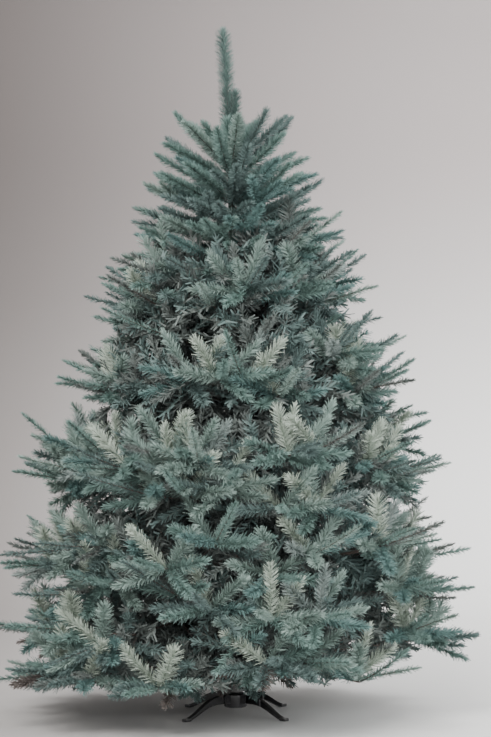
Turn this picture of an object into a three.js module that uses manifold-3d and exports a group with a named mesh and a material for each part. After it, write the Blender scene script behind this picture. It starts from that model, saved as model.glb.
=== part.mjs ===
// An artificial fir for Christmas, standing on a low folding stand with four arched legs.
// A sectioned metal pole carries whorls of wire boughs. Each bough ends in a fan of twigs
// that carry flat sprays of needles, and the pole ends in a tall, leaning leader.
// Millimetres, +Z up, the front faces -Y. The origin is on the floor under the pole.
import * as THREE from "three";
import { mergeVertices } from "three/addons/utils/BufferGeometryUtils.js";
import Module from "manifold-3d";

const wasm = await Module();
wasm.setup();

// ---- driving dimensions ----
const treeHeight = 2050; // floor to the tip of the leader
const crownRadius = 728; // widest sprays, from the pole's axis
const crownShoulder = 330; // up to this height the crown keeps its full width
const crownWaist = { height: 770, radius: 655 }; // where the skirt turns into the cone
const crownNeck = { height: 1795, radius: 190 }; // tips of the topmost whorl
const crownSlope = 0.05; // how much the crown rises to its right, for each millimetre of x
const clearance = 0.3; // gap between a piece and its seat

const pole = {
  foot: 30, // top of the stand's floor, which the pole stands on
  top: 1680,
  sections: [
    { to: 760, radius: 18 },
    { to: 1290, radius: 15 },
    { to: 1680, radius: 10.5 },
  ],
  ferruleHeight: 18,
  ferruleLip: 2.2,
  collarHeight: 18,
  collarLip: 10,
  sides: 12,
};

// The whorls with boughs, from the floor up, then those whose fans leave the pole directly.
const lowestWhorl = 178;
const highestWhorl = 1560;
const whorlCounts = [5, 5, 4, 4, 4, 3, 3];
const boughWhorls = 5;
const whorlCrowding = 0.14; // how much closer the whorls sit towards the top
const lowestRise = 0; // degrees above level, at the pole
const highestRise = 32;
const riseCurve = 1.1;
const whorlDrift = 5; // degrees that each whorl turns on, besides half a step
const firstAzimuth = -80; // of the lowest whorl's first bough, anticlockwise from +X

const bough = {
  share: 0.36, // of the reach
  hingeAt: 25, // from the pole's axis
  rootRadius: 9,
  tipRadius: 6,
  sides: 5,
  steps: 2,
  sag: 0.016, // of its length
};
const stem = { rootRadius: 8, tipRadius: 6.5 }; // of a fan
const twig = { rootRadius: 5, tipRadius: 4.6, shortest: 45 };
const spray = {
  length: 226,
  width: 86,
  stalkRadius: 2.8,
  stalkLength: 28,
  shortest: 0.55,
  shortfall: 0.09, // how far some tips stay inside the crown's outline
  apart: 30, // between the middles of two sprays
  quota: [16, 14, 14, 12, 11, 10, 9], // in one fan of each whorl
};
const spaceMargin = 4; // that a fan keeps from its neighbours' space
const spaceShare = 0.72; // of the height between two whorls that the lower one fills
const limbMargin = 9; // that a spray keeps from a bough

const leader = {
  lean: 3.5,
  stemTop: 1960,
  sprays: 6,
  sprayLength: 118,
  sprayWidth: 40,
  whorlSprays: 6,
  whorlLength: 215,
  whorlRise: 31,
};

const stand = {
  floorHeight: 22,
  drumRadius: 34,
  drumTop: 62,
  socketRadius: 24,
  socketBore: 18.7,
  socketTop: 130,
  sides: 12,
  legReach: 211,
  legWidth: 16,
  legRootDepth: 26,
  legTipDepth: 7,
  legCrest: 49, // height of the leg's centre line at the drum
  legArch: 1.25,
  archStart: 60,
  padStart: 186,
  legSteps: 8,
  earThickness: 3.5,
  earReach: 54,
  pinRadius: 3,
  pinAt: [45, 48],
  screwHeight: 104,
  screwRadius: 3,
  knobRadius: 10,
  knobAt: 36,
  knobDepth: 11,
};
const legAzimuths = [-135, -45, 45, 135];
const legNames = ["front_left", "front_right", "back_right", "back_left"];

// ---- small helpers ----
const radians = THREE.MathUtils.degToRad;
const mix = THREE.MathUtils.lerp;
const up = new THREE.Vector3(0, 0, 1);
const vector = (x, y, z) => new THREE.Vector3(x, y, z);

// The same draws on every run, from one whole number.
function seeded(seed) {
  let state = seed >>> 0;
  return () => {
    state = (state + 0x6d2b79f5) >>> 0;
    let t = state;
    t = Math.imul(t ^ (t >>> 15), t | 1);
    t ^= t + Math.imul(t ^ (t >>> 7), t | 61);
    return ((t ^ (t >>> 14)) >>> 0) / 4294967296;
  };
}

// A direction from its azimuth and its rise above level, in degrees.
function heading(azimuth, rise) {
  const a = radians(azimuth);
  const e = radians(rise);
  return vector(Math.cos(a) * Math.cos(e), Math.sin(a) * Math.cos(e), Math.sin(e));
}

// The side that a blade shows: level with its direction at no roll, and turned about it.
function rolled(along, roll) {
  const across = up.clone().cross(along).normalize();
  const over = along.clone().cross(across);
  return over.multiplyScalar(Math.cos(radians(roll))).addScaledVector(across, Math.sin(radians(roll)));
}

// A closed solid from its corners and triangles.
function solidFrom(corners, triangles) {
  const vertProperties = new Float32Array(corners.flatMap((c) => [c.x, c.y, c.z]));
  const triVerts = new Uint32Array(triangles.flat());
  return new wasm.Manifold(new wasm.Mesh({ numProp: 3, vertProperties, triVerts }));
}

// A closed solid from a three.js geometry, moved by a matrix.
function solidOf(geometry, matrix = new THREE.Matrix4()) {
  const plain = geometry.clone().applyMatrix4(matrix);
  plain.deleteAttribute("normal");
  plain.deleteAttribute("uv");
  const merged = mergeVertices(plain, 1e-3);
  const vertProperties = merged.attributes.position.array;
  const triVerts = new Uint32Array(merged.index.array);
  return new wasm.Manifold(new wasm.Mesh({ numProp: 3, vertProperties, triVerts }));
}

// The largest body of a solid, without loose scraps.
function largest(solid) {
  const parts = solid.decompose();
  return parts.reduce((best, part) => (part.volume() > best.volume() ? part : best));
}

function meshOf(name, solid, material) {
  const mesh = solid.getMesh();
  const geometry = new THREE.BufferGeometry()
    .setAttribute("position", new THREE.BufferAttribute(mesh.vertProperties, 3))
    .setIndex(new THREE.BufferAttribute(mesh.triVerts, 1));
  geometry.computeVertexNormals();
  const made = new THREE.Mesh(geometry, material);
  made.name = name;
  return made;
}

// A tapering limb with flat ends along a row of points.
function limb(points, radii, sides) {
  const corners = [];
  const triangles = [];
  points.forEach((point, i) => {
    const before = points[Math.max(i - 1, 0)];
    const after = points[Math.min(i + 1, points.length - 1)];
    const along = after.clone().sub(before).normalize();
    const across = up.clone().cross(along);
    if (across.length() < 1e-3) across.set(1, 0, 0);
    across.normalize();
    const over = along.clone().cross(across);
    for (let s = 0; s < sides; s += 1) {
      const turn = (2 * Math.PI * s) / sides + Math.PI / 2;
      corners.push(
        point
          .clone()
          .addScaledVector(across, Math.cos(turn) * radii[i])
          .addScaledVector(over, Math.sin(turn) * radii[i]),
      );
    }
  });
  for (let i = 0; i < points.length - 1; i += 1)
    for (let s = 0; s < sides; s += 1) {
      const [a, b] = [i * sides + s, i * sides + ((s + 1) % sides)];
      triangles.push([a, b, a + sides], [b, b + sides, a + sides]);
    }
  const last = (points.length - 1) * sides;
  for (let s = 1; s < sides - 1; s += 1)
    triangles.push([0, s + 1, s], [last, last + s, last + s + 1]);
  return solidFrom(corners, triangles);
}

// ---- the crown's outline and its whorls ----

// Distance of the tips from the pole at a height.
function crownReach(height) {
  if (height < crownShoulder) return crownRadius;
  if (height < crownWaist.height)
    return mix(
      crownRadius,
      crownWaist.radius,
      (height - crownShoulder) / (crownWaist.height - crownShoulder),
    );
  return mix(
    crownWaist.radius,
    crownNeck.radius,
    (height - crownWaist.height) / (crownNeck.height - crownWaist.height),
  );
}

// Height of a whorl on the pole. Whole numbers are whorls, and halves lie between them.
function whorlHeight(k) {
  const share = k / (whorlCounts.length - 1);
  return mix(lowestWhorl, highestWhorl, share + whorlCrowding * share * (1 - share));
}

// Rise of the boughs of a whorl.
const whorlRise = (k) =>
  mix(lowestRise, highestRise, Math.max(k / (whorlCounts.length - 1), 0) ** riseCurve);

// Height of a whorl's boughs at an azimuth and a distance from the pole.
const boughHeight = (k, azimuth, radius) =>
  whorlHeight(k) +
  (radius - bough.hingeAt) * Math.tan(radians(whorlRise(k))) +
  crownSlope * radius * Math.cos(radians(azimuth));

// Distance of the tips from the pole at a point's height.
const reachAt = (point) => crownReach(point.z - crownSlope * point.x);

// Distance of a whorl's tips from the pole.
function whorlReach(k) {
  let reach = crownRadius;
  for (let n = 0; n < 12; n += 1) reach = mix(reach, crownReach(boughHeight(k, 90, reach)), 0.7);
  return reach;
}

// Rise of a whorl's boughs at an azimuth, with the crown's slope.
const riseAt = (k, azimuth) =>
  THREE.MathUtils.radToDeg(
    Math.atan(Math.tan(radians(whorlRise(k))) + crownSlope * Math.cos(radians(azimuth))),
  );

const azimuthOf = (k, j) =>
  firstAzimuth + whorlDrift * k + (360 / whorlCounts[k]) * (j + (k % 2) / 2);

// The space that one fan keeps to: a sector round its azimuth, between the neighbouring whorls.
function fanSpace(k, azimuth) {
  const half = Math.PI / whorlCounts[k];
  return (point) => {
    const radius = Math.hypot(point.x, point.y);
    const own = Math.atan2(point.y, point.x);
    const off = Math.atan2(Math.sin(own - radians(azimuth)), Math.cos(own - radians(azimuth)));
    if (radius * Math.sin(Math.min(half - Math.abs(off), Math.PI / 2)) < spaceMargin) return false;
    const angle = THREE.MathUtils.radToDeg(own);
    const level = boughHeight(k, angle, radius);
    const floor = k > 0 ? mix(boughHeight(k - 1, angle, radius), level, spaceShare) : 70;
    const ceiling =
      k + 1 < whorlCounts.length
        ? mix(level, boughHeight(k + 1, angle, radius), spaceShare)
        : pole.top - 14 + radius * Math.tan(radians(leader.whorlRise - 6));
    return point.z > floor + spaceMargin && point.z < ceiling - spaceMargin;
  };
}

// ---- foliage ----

// A flat spray of needles is a toothed blade on a three-sided stalk. It is flat below, with
// a raised rib above, and a spray at the end of a twig is one solid with that twig.
const sprayOutline = [
  [0.4, 0.5],
  [0.48, 0.33],
  [0.86, 0.43],
  [1, 0],
  [0.86, -0.43],
  [0.48, -0.33],
  [0.4, -0.5],
];
// Its underside in triangles of the outline's corners, with the stalk's left and right.
const sprayUnderside = [
  ["left", 0, 1],
  ["left", 1, 5],
  ["left", 5, "right"],
  ["right", 5, 6],
  [1, 2, 3],
  [1, 3, 5],
  [5, 3, 4],
];

// The blade's outline in space, which also serves to test it against its space.
function sprayEdge(root, along, face, length, width) {
  const across = face.clone().cross(along).normalize();
  return sprayOutline.map(([u, v]) =>
    root
      .clone()
      .addScaledVector(along, u * length)
      .addScaledVector(across, v * width),
  );
}

// A three-sided twig or stalk from a root to where its spray starts, with that spray.
function shootSolid(root, start, radii, along, face, length, width) {
  const across = face.clone().cross(along).normalize();
  const over = along.clone().cross(across);
  const corners = [root, start].flatMap((centre, n) =>
    [90, 210, 330].map((turn) =>
      centre
        .clone()
        .addScaledVector(across, Math.cos(radians(turn)) * radii[n])
        .addScaledVector(over, Math.sin(radians(turn)) * radii[n]),
    ),
  );
  const triangles = [[0, 2, 1]];
  for (let n = 0; n < 3; n += 1) {
    const next = (n + 1) % 3;
    triangles.push([n, next, 3 + n], [next, 3 + next, 3 + n]);
  }
  const first = corners.length;
  const flat = start.clone().addScaledVector(over, -radii[1] / 2);
  corners.push(...sprayEdge(flat, along, face, length, width));
  const [top, right, left] = [3, 4, 5];
  const rim = [left, ...sprayOutline.map((_, n) => first + n), right];
  for (let n = 0; n < rim.length - 1; n += 1) triangles.push([top, rim[n + 1], rim[n]]);
  const named = (corner) => ({ left, right })[corner] ?? first + corner;
  triangles.push(...sprayUnderside.map((corner) => corner.map(named)));
  return solidFrom(corners, triangles);
}

// A straight stretch of limb, twig or spray, to measure distances from.
class Stretch {
  constructor(from, to) {
    this.line = new THREE.Line3(from.clone(), to.clone());
    this.near = new THREE.Vector3();
  }

  distanceTo(point) {
    return this.line.closestPointToPoint(point, true, this.near).distanceTo(point);
  }
}

// A growing fan: fused twigs and sprays, with the tests that keep it in its space.
class Fan {
  constructor(inside, limbs, draw) {
    this.inside = inside;
    this.limbs = limbs;
    this.draw = draw;
    this.twigs = [];
    this.sprays = [];
    this.buds = [];
    this.solid = null;
  }

  fuse(solid) {
    this.solid = this.solid ? this.solid.add(solid) : solid;
  }

  clear(points) {
    return points.every(
      (point) =>
        this.inside(point) && this.limbs.every((line) => line.distanceTo(point) > limbMargin),
    );
  }

  // The longest spray that fits its space and the crown's outline, or nothing.
  fit(root, along, face, size) {
    const inset = 1 - spray.shortfall * this.draw() ** 2;
    for (let shrink = 1; shrink >= spray.shortest; shrink -= 0.05) {
      const length = spray.length * size * shrink;
      const width = spray.width * Math.sqrt(size) * mix(1, shrink, 0.5);
      const edge = sprayEdge(root, along, face, length, width);
      if (edge.some((p) => Math.hypot(p.x, p.y) > reachAt(p) * inset)) continue;
      if (!this.clear(edge)) continue;
      const middle = [0.35, 0.55, 0.8, 1].map((u) => root.clone().addScaledVector(along, u * length));
      const crowded = middle.some(
        (p) =>
          this.sprays.some((line) => line.distanceTo(p) < spray.apart) ||
          this.twigs.some((line) => line.distanceTo(p) < limbMargin),
      );
      if (!crowded) return { length, width, middle };
    }
    return null;
  }

  // A twig that ends in a spray, shortened until it fits. Its root is on its parent's middle.
  twig(root, azimuth, rise, roll, length, radii, size) {
    const along = heading(azimuth, rise);
    const face = rolled(along, roll);
    for (let reach = length; reach >= twig.shortest; reach *= 0.85) {
      const start = root.clone().addScaledVector(along, reach);
      if (this.twigs.length && !this.clear([root.clone().lerp(start, 0.5), start])) continue;
      const found = this.fit(start, along, face, size);
      if (!found) continue;
      this.fuse(shootSolid(root, start, radii, along, face, found.length, found.width));
      this.twigs.push(new Stretch(root, start));
      this.sprays.push(new Stretch(found.middle[0], found.middle[3]));
      return { root, along, length: reach };
    }
    return null;
  }

  // A place for a spray. The buds of a lower rank open first.
  bud(rank, root, azimuth, rise, roll, size) {
    this.buds.push({ rank, root: root.clone(), azimuth, rise, roll, size });
  }

  openBuds(quota) {
    const ordered = this.buds.sort((a, b) => a.rank - b.rank);
    for (const { root, azimuth, rise, roll, size } of ordered) {
      if (this.sprays.length >= quota) return;
      const along = heading(azimuth, rise);
      const face = rolled(along, roll);
      const start = root.clone().addScaledVector(along, spray.stalkLength);
      const found = this.fit(start, along, face, size);
      if (!found) continue;
      const { length, width, middle } = found;
      const radii = [spray.stalkRadius, spray.stalkRadius];
      this.fuse(shootSolid(root, start, radii, along, face, length, width));
      this.sprays.push(new Stretch(middle[0], middle[3]));
    }
  }
}

// Buds along a twig: two that stand up, and one to each side near its end.
function twigBuds(fan, shoot, azimuth, rise, size, firstSide) {
  const { draw } = fan;
  const at = (share) => shoot.root.clone().addScaledVector(shoot.along, shoot.length * share);
  const turned = azimuth + 70 * (draw() - 0.5);
  fan.bud(1 + draw(), at(0.73), turned, 54 + 16 * draw(), 0, size * 0.92);
  [0.84, 0.62].forEach((share, n) => {
    const side = n ? -firstSide : firstSide;
    const yaw = azimuth + side * (46 + 16 * draw());
    fan.bud(1 + n * 0.5 + draw(), at(share), yaw, rise + 12 + 22 * draw(), -side * 38, size * 0.92);
  });
  const back = azimuth + firstSide * (50 + 20 * draw());
  fan.bud(1.7 + draw(), at(0.4), back, 42 + 20 * draw(), -firstSide * 20, size * 0.88);
}

// A fan on a bough's tip or on the pole: a stem, paired side twigs, and their sprays.
function growFan(k, azimuth, start, seed) {
  const draw = seeded(seed);
  const rise = riseAt(k, azimuth);
  const size = mix(1, 0.86, k / (whorlCounts.length - 1));
  const fan = new Fan(fanSpace(k, azimuth), start.limbs, draw);
  const startAt = Math.hypot(start.point.x, start.point.y);
  const run = (whorlReach(k) - startAt) / Math.cos(radians(rise));
  const stemLength = Math.max(run - spray.length * size * 0.95, 60);
  const stemRadii = [start.radius, stem.tipRadius];
  const firstRoll = draw() < 0.5 ? -35 : 35;
  const main = fan.twig(start.point, azimuth, rise, firstRoll, stemLength, stemRadii, size);

  const half = 180 / whorlCounts[k];
  const pairs = stemLength > 180 ? [0.08, 0.42, 0.76] : stemLength > 100 ? [0.12, 0.62] : [0.3];
  pairs.forEach((share, n) => {
    const root = start.point.clone().addScaledVector(main.along, main.length * share);
    const out = startAt + main.length * share;
    for (const side of [-1, 1]) {
      const turned = mix(Math.min(half * 1.4, 62), 34, n / 2) * (0.92 + 0.16 * draw());
      const yaw = azimuth + side * turned;
      const wide = mix(0.6, 0.32, n / 2) * radians(half) * (out + 120);
      const length = Math.max(wide * (0.9 + 0.2 * draw()), twig.shortest * 1.4);
      const radii = [twig.rootRadius, twig.tipRadius];
      const lift = (n + (side > 0 ? 1 : 0)) % 2 ? 3 + 6 * draw() : 15 + 8 * draw();
      const made = fan.twig(root, yaw, rise + lift, -side * 38, length, radii, size);
      if (made) twigBuds(fan, made, azimuth + side * turned * 0.9, rise, size, side);
    }
  });
  twigBuds(fan, main, azimuth, rise, size, draw() < 0.5 ? -1 : 1);
  for (const share of [0.2, 0.48]) {
    const root = start.point.clone().addScaledVector(main.along, main.length * share);
    fan.bud(0.8 + draw(), root, azimuth + 70 * (draw() - 0.5), 50 + 18 * draw(), 0, size * 0.9);
  }
  if (k === 0)
    for (const side of [-1, 1]) {
      const root = start.point.clone().addScaledVector(main.along, main.length * (0.85 - 0.1 * side));
      fan.bud(0.5, root, azimuth + side * 26, -15 - 8 * draw(), side * 30, size * 0.85);
    }
  fan.openBuds(spray.quota[k]);
  return fan;
}

// The top: a whorl of long sprays, the leader, and a shorter shoot beside it.
function growLeader() {
  const draw = seeded(77);
  const fan = new Fan(() => true, [], draw);
  const base = vector(0, 0, pole.top + clearance);
  const lean = heading(180, 90 - leader.lean);
  const at = (height) => base.clone().addScaledVector(lean, height - pole.top);
  const blade = (root, stalk, radii, azimuth, rise, length, width, roll = 0) => {
    const along = heading(azimuth, rise);
    const start = root.clone().addScaledVector(along, stalk);
    fan.fuse(shootSolid(root, start, radii, along, rolled(along, roll), length, width));
  };

  const stemLength = leader.stemTop - pole.top;
  blade(base, stemLength, [8.5, 6], 180, 90 - leader.lean, treeHeight - leader.stemTop, 38);
  for (let n = 0; n < leader.whorlSprays; n += 1) {
    const azimuth = -90 + (360 / leader.whorlSprays) * (n + 0.5) + 16 * (draw() - 0.5);
    const rise = leader.whorlRise + 8 * (draw() - 0.5);
    const roll = n % 2 ? -35 : 35;
    const root = at(pole.top + 12 + 9 * (n % 3));
    blade(root, 25, [3, 3], azimuth, rise, leader.whorlLength - 25, 56, roll);
  }
  for (let n = 0; n < leader.sprays; n += 1) {
    const azimuth = -60 + 137.5 * n;
    const root = at(mix(pole.top + 60, leader.stemTop - 55, n / (leader.sprays - 1)));
    blade(root, 24, [2.8, 2.8], azimuth, 66, leader.sprayLength, leader.sprayWidth);
  }
  blade(at(pole.top + 42), 66, [3.6, 3.4], -8, 66, 30, 30);
  const shootTip = at(pole.top + 42).addScaledVector(heading(-8, 66), 60);
  blade(shootTip, 14, [2.4, 2.4], 172, 86, 84, 36);
  return fan;
}

// ---- the pole ----

// The pole's outline, grown on all sides by a gap, as [radius, height] pairs.
function poleOutline(gap) {
  const rings = [];
  for (let k = 0; k < boughWhorls; k += 1)
    rings.push({ at: whorlHeight(k), height: pole.collarHeight });
  const outline = [[0, pole.foot + clearance - gap]];
  let from = pole.foot + clearance - gap;
  pole.sections.forEach((section, n) => {
    const radius = section.radius + gap;
    outline.push([radius, from]);
    for (const ring of rings.filter((r) => r.at > from && r.at < section.to)) {
      const [low, high] = [ring.at - ring.height / 2 - gap, ring.at + ring.height / 2 + gap];
      const rim = radius + pole.collarLip;
      outline.push([radius, low], [rim, low], [rim, high], [radius, high]);
    }
    if (n < pole.sections.length - 1) {
      const start = section.to - pole.ferruleHeight;
      const rim = radius + pole.ferruleLip;
      outline.push([radius, start], [rim, start + 2], [rim, section.to]);
    } else outline.push([radius * 0.8, section.to + gap], [0, section.to + gap]);
    from = section.to;
  });
  return outline;
}

function poleSolid(gap) {
  const points = poleOutline(gap).map(([r, z]) => new THREE.Vector2(r, z));
  const turned = new THREE.LatheGeometry(points, pole.sides);
  return solidOf(turned, new THREE.Matrix4().makeRotationX(Math.PI / 2));
}

const collarRim = (k) => {
  const section = pole.sections.find((s) => whorlHeight(k) < s.to);
  return section.radius + (k < boughWhorls ? pole.collarLip : 0);
};

// ---- one bough ----
function boughPoints(k, azimuth) {
  const tipRadius = whorlReach(k) * bough.share;
  const rootRadius = collarRim(k) - 3;
  return Array.from({ length: bough.steps + 1 }, (_, n) => {
    const share = n / bough.steps;
    const radius = mix(rootRadius, tipRadius, share);
    // The bough sags a little in its middle, and comes back to the whorl's line at its tip.
    const sag = Math.sin(Math.PI * share) * (tipRadius - rootRadius) * bough.sag;
    const flat = heading(azimuth, 0).multiplyScalar(radius);
    return flat.setZ(boughHeight(k, azimuth, radius) - sag);
  });
}

// Where a fan without a bough leaves the pole: just inside its wall.
function poleStart(k, azimuth) {
  const radius = collarRim(k) - 3;
  return heading(azimuth, 0).multiplyScalar(radius).setZ(whorlHeight(k));
}

function boughRadii() {
  return Array.from({ length: bough.steps + 1 }, (_, n) =>
    mix(bough.rootRadius, bough.tipRadius, n / bough.steps),
  );
}

// ---- the stand ----
const boxOf = (x, y, z) => new THREE.BoxGeometry(x, y, z);
const turnedTo = (azimuth) => new THREE.Matrix4().makeRotationZ(radians(azimuth));
const placed = (azimuth, x, y, z) =>
  turnedTo(azimuth).multiply(new THREE.Matrix4().makeTranslation(x, y, z));

function pinSolid(azimuth, radius, length) {
  const [x, z] = stand.pinAt;
  return solidOf(new THREE.CylinderGeometry(radius, radius, length, 6), placed(azimuth, x, 0, z));
}

// The drum with its socket for the pole, and a pair of ears with a pin for each leg.
function hubSolid(screwAzimuths) {
  const s = stand;
  const outline = [
    [0, s.floorHeight],
    [s.drumRadius, s.floorHeight],
    [s.drumRadius, s.drumTop - 4],
    [s.drumRadius - 4, s.drumTop],
    [s.socketRadius, s.drumTop + 5],
    [s.socketRadius, s.socketTop],
    [s.socketBore, s.socketTop],
    [s.socketBore, pole.foot],
    [0, pole.foot],
  ].map(([r, z]) => new THREE.Vector2(r, z));
  const upright = new THREE.Matrix4().makeRotationX(Math.PI / 2);
  let hub = solidOf(new THREE.LatheGeometry(outline, s.sides), upright);
  const slot = s.legWidth + 2 * clearance;
  const block = boxOf(s.earReach - 26, slot + 2 * s.earThickness, s.legRootDepth);
  const gap = boxOf(s.earReach, slot, s.legRootDepth + 20);
  for (const azimuth of legAzimuths) {
    const ears = solidOf(block, placed(azimuth, (s.earReach + 26) / 2, 0, s.legCrest - 1));
    const room = placed(azimuth, s.drumRadius + s.earReach / 2, 0, s.legCrest);
    hub = hub.add(ears.subtract(solidOf(gap, room)));
    hub = hub.add(pinSolid(azimuth, s.pinRadius, slot + s.earThickness));
  }
  for (const azimuth of screwAzimuths) {
    const boreRadius = s.screwRadius + 2 * clearance;
    const bore = new THREE.CylinderGeometry(boreRadius, boreRadius, 20, 8);
    bore.rotateZ(Math.PI / 2);
    hub = hub.subtract(solidOf(bore, placed(azimuth, s.socketRadius, 0, s.screwHeight)));
  }
  return hub;
}

// One arched leg: deep at the drum, thin and flat at the floor.
function legSolid(azimuth) {
  const s = stand;
  const root = s.drumRadius + clearance + 1;
  const rows = Array.from({ length: s.legSteps + 1 }, (_, n) => {
    const radius = mix(root, s.legReach, n / s.legSteps);
    const share = THREE.MathUtils.clamp((radius - s.archStart) / (s.legReach - s.archStart), 0, 1);
    const fall = (1 + Math.cos(Math.PI * share ** s.legArch)) / 2;
    const centre = mix(s.legTipDepth / 2, s.legCrest, fall);
    const depth = mix(s.legRootDepth, s.legTipDepth, share);
    return { radius, high: centre + depth / 2, low: Math.max(centre - depth / 2, 0) };
  });
  const outline = new THREE.Shape();
  outline.moveTo(rows[0].radius, rows[0].low);
  rows.slice(1).filter((row) => row.radius < s.padStart).forEach((row) => outline.lineTo(row.radius, row.low));
  outline.lineTo(s.padStart, 0);
  outline.lineTo(s.legReach, 0);
  [...rows].reverse().forEach((row) => outline.lineTo(row.radius, row.high));
  const thick = new THREE.ExtrudeGeometry(outline, { depth: s.legWidth, bevelEnabled: false });
  thick.translate(0, 0, -s.legWidth / 2);
  thick.rotateX(Math.PI / 2);
  const leg = solidOf(thick, turnedTo(azimuth));
  return leg.subtract(pinSolid(azimuth, s.pinRadius + clearance + 0.1, s.legWidth + 4));
}

// A clamping screw with a round grip, pointing at the pole.
function screwSolid(azimuth) {
  const s = stand;
  const tip = pole.sections[0].radius + clearance;
  const outline = [
    [0, tip],
    [s.screwRadius, tip],
    [s.screwRadius, s.knobAt],
    [s.knobRadius * 0.8, s.knobAt],
    [s.knobRadius, s.knobAt + 3],
    [s.knobRadius, s.knobAt + s.knobDepth - 3],
    [s.knobRadius * 0.8, s.knobAt + s.knobDepth],
    [0, s.knobAt + s.knobDepth],
  ].map(([r, x]) => new THREE.Vector2(r, x));
  const turned = new THREE.LatheGeometry(outline, 8);
  turned.rotateZ(-Math.PI / 2);
  return solidOf(turned, placed(azimuth, 0, 0, s.screwHeight));
}

// ---- the whole tree ----
const materials = {
  needles: new THREE.MeshStandardMaterial({ color: 0x5f8a7c, roughness: 0.75, metalness: 0 }),
  twig: new THREE.MeshStandardMaterial({ color: 0x4a3c36, roughness: 0.85, metalness: 0 }),
  pole: new THREE.MeshStandardMaterial({ color: 0x2f3a34, roughness: 0.5, metalness: 0.3 }),
  stand: new THREE.MeshStandardMaterial({ color: 0x1d1f20, roughness: 0.35, metalness: 0.5 }),
};
const tree = new THREE.Group();
const trunk = poleSolid(0);
const trunkGrown = poleSolid(clearance);
tree.add(meshOf("trunk", trunk, materials.pole));

const screwAzimuths = [-90, 30, 150];
tree.add(meshOf("stand_hub", hubSolid(screwAzimuths), materials.stand));
legAzimuths.forEach((azimuth, n) =>
  tree.add(meshOf(`stand_leg_${legNames[n]}`, legSolid(azimuth), materials.stand)),
);
screwAzimuths.forEach((azimuth, n) =>
  tree.add(meshOf(`stand_screw_${n + 1}`, screwSolid(azimuth), materials.stand)),
);

let sprayTotal = 0;
whorlCounts.forEach((count, k) => {
  for (let j = 0; j < count; j += 1) {
    const azimuth = azimuthOf(k, j);
    const label = `${k + 1}${"abcde"[j]}`;
    const onBough = k < boughWhorls;
    const points = onBough ? boughPoints(k, azimuth) : [poleStart(k, azimuth)];
    const end = points[points.length - 1];
    const start = { point: end, radius: stem.rootRadius, limbs: [] };
    if (onBough) {
      const made = limb(points, boughRadii(), bough.sides).subtract(trunkGrown);
      tree.add(meshOf(`bough_${label}`, largest(made), materials.twig));
      start.point = end.clone().addScaledVector(heading(azimuth, riseAt(k, azimuth)), clearance * 2);
      start.limbs.push(new Stretch(points[0], end));
    }
    const fan = growFan(k, azimuth, start, 1000 + 100 * k + j);
    sprayTotal += fan.sprays.length;
    const made = onBough ? fan.solid : fan.solid.subtract(trunkGrown);
    tree.add(meshOf(`foliage_${label}`, largest(made), materials.needles));
  }
});
tree.add(meshOf("foliage_leader", largest(growLeader().solid), materials.needles));
console.log(`${sprayTotal} sprays`);

export default tree;
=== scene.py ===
from math import asin, atan2, ceil, cos, hypot, pi, radians, sin, sqrt, tan
import bpy
import bmesh
import numpy as np
from mathutils import Matrix, Vector


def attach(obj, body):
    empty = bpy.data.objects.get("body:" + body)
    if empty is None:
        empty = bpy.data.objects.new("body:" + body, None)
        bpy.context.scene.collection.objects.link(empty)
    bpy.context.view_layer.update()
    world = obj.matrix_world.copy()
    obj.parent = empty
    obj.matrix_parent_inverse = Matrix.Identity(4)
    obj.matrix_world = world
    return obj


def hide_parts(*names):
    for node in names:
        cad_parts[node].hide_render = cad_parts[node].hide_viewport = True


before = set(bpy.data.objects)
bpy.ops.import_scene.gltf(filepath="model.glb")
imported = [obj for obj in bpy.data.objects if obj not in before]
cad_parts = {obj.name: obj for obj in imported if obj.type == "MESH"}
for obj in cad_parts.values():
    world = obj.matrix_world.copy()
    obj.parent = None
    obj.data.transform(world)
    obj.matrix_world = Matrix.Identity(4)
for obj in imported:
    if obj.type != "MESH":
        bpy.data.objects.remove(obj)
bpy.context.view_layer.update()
foliageNodes = [name for name in sorted(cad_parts) if name.startswith("foliage")]

# Crown rule, in metres.

crown = {
    "radius": 0.728, "shoulder": 0.33,  # as wide as this up to the shoulder
    "waistHeight": 0.77, "waistRadius": 0.655,
    "neckHeight": 1.795, "neckRadius": 0.19,
    "slope": 0.05,  # rises to its right
    "lowestWhorl": 0.178, "highestWhorl": 1.56,
    "counts": [5, 5, 4, 4, 4, 3, 3],
    "boughWhorls": 5,
    "crowding": 0.14,
    "highestRise": 32.0, "riseCurve": 1.1,
    "drift": 5.0, "firstAzimuth": -80.0,
    "boughShare": 0.36, "hingeAt": 0.025,
    "boughRadii": (0.009, 0.006), "sag": 0.016,
    "poleTop": 1.68, "leaderLean": 3.5,
}
pole = {
    "foot": 0.0303,
    "sections": [(0.76, 0.018), (1.29, 0.015), (1.68, 0.0105)],
    "ferruleHeight": 0.018, "ferruleLip": 0.0022,
    "collarHeight": 0.018, "collarLip": 0.010,
    "bracket": (0.014, 0.0014, 0.016), "bracketOff": 0.0078, "bracketRound": 0.003,
    "pinRadius": 0.0016, "pinLength": 0.0186, "pinOut": 0.004,
}
skyward = Vector((0, 0, 1))


def mix(a, b, t):
    return a + (b - a) * t


def flatOf(vector):
    return Vector((vector.x, vector.y, 0))


def radiusOf(point):  # its distance from the pole's axis
    return hypot(point.x, point.y)


def poleRadius(height):
    return next(radius for top, radius in pole["sections"] if height < top)


def crownReach(height):
    c = crown
    if height < c["shoulder"]:
        return c["radius"]
    if height < c["waistHeight"]:
        share = (height - c["shoulder"]) / (c["waistHeight"] - c["shoulder"])
        return mix(c["radius"], c["waistRadius"], share)
    share = (height - c["waistHeight"]) / (c["neckHeight"] - c["waistHeight"])
    return mix(c["waistRadius"], c["neckRadius"], share)


def reachAt(point):
    return crownReach(point[2] - crown["slope"] * point[0])


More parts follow.
